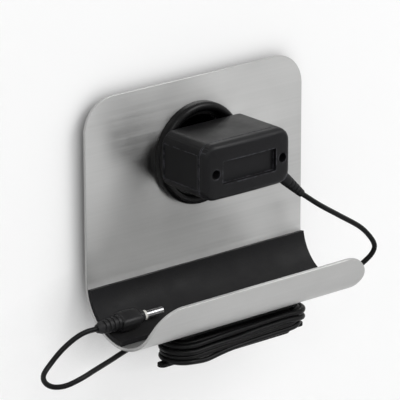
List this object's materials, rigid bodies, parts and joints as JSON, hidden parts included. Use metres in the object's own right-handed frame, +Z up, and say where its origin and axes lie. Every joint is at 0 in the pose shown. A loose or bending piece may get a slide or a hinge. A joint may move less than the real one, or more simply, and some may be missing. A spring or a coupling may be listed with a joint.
{
  "type": "phone charging station",
  "caption": "Bent steel tray with a lined trough that holds a phone, carried on a plug-in charger through a round collar, with the charger's cord wound beneath it.",
  "frame": {"origin": "midway between the plug's two pins, where they leave the front face of its nose, which is the floor of the wall socket's recess", "axes": "+Y along the pins into the wall, +Z up, +X to the right for someone who faces the wall"},
  "size_m": [0.1844, 0.0868, 0.1213],
  "materials": {
    "sheet_steel": "satin",
    "liner_rubber": "matte",
    "collar_plastic": "gloss",
    "winder_plastic": "matte",
    "winder_screw_steel": "satin",
    "shell_plastic": "satin",
    "cover_plastic": "satin",
    "housing_screw_steel": "satin",
    "pin_metal": "satin",
    "sleeve_plastic": "satin",
    "strip_brass": "satin",
    "board_laminate": "satin",
    "core_ferrite": "matte",
    "coil_tape": "satin",
    "can_sleeve_dark": "satin",
    "can_sleeve_blue": "satin",
    "disc_coating": "satin",
    "choke_ferrite": "matte",
    "resistor_coating": "matte",
    "diode_resin": "satin",
    "coupler_resin": "matte",
    "transistor_resin": "matte",
    "output_diode_resin": "satin",
    "lead_jacket": "satin",
    "relief_rubber": "matte",
    "cord_jacket": "satin",
    "boot_rubber": "satin",
    "grip_plastic": "satin",
    "insulator_plastic": "gloss",
    "barrel_metal": "satin"
  },
  "bodies": {
    "root": {"holder_sheet": "sheet_steel", "tray_liner": "liner_rubber", "socket_collar": "collar_plastic", "cable_winder": "winder_plastic", "winder_screws": "winder_screw_steel", "charger_rear_shell": "shell_plastic", "charger_front_cover": "cover_plastic", "housing_screws": "housing_screw_steel", "plug_pin_left": "pin_metal", "plug_pin_right": "pin_metal", "pin_sleeves": "sleeve_plastic", "contact_strips": "strip_brass", "circuit_board": "board_laminate", "transformer_core": "core_ferrite", "transformer_coil": "coil_tape", "input_capacitor": "can_sleeve_dark", "output_capacitor": "can_sleeve_blue", "safety_capacitor": "disc_coating", "input_choke": "choke_ferrite", "fuse_resistor": "resistor_coating", "rectifier_diodes": "diode_resin", "optocoupler": "coupler_resin", "switch_transistor": "transistor_resin", "output_diode": "output_diode_resin", "output_leads": "lead_jacket", "charger_strain_relief": "relief_rubber", "cord_right": "cord_jacket", "cord_hank": "cord_jacket", "cord_left": "cord_jacket", "connector_relief": "boot_rubber", "connector_body": "grip_plastic", "connector_insulator": "insulator_plastic", "connector_barrel": "barrel_metal"}
  },
  "joints": []
}
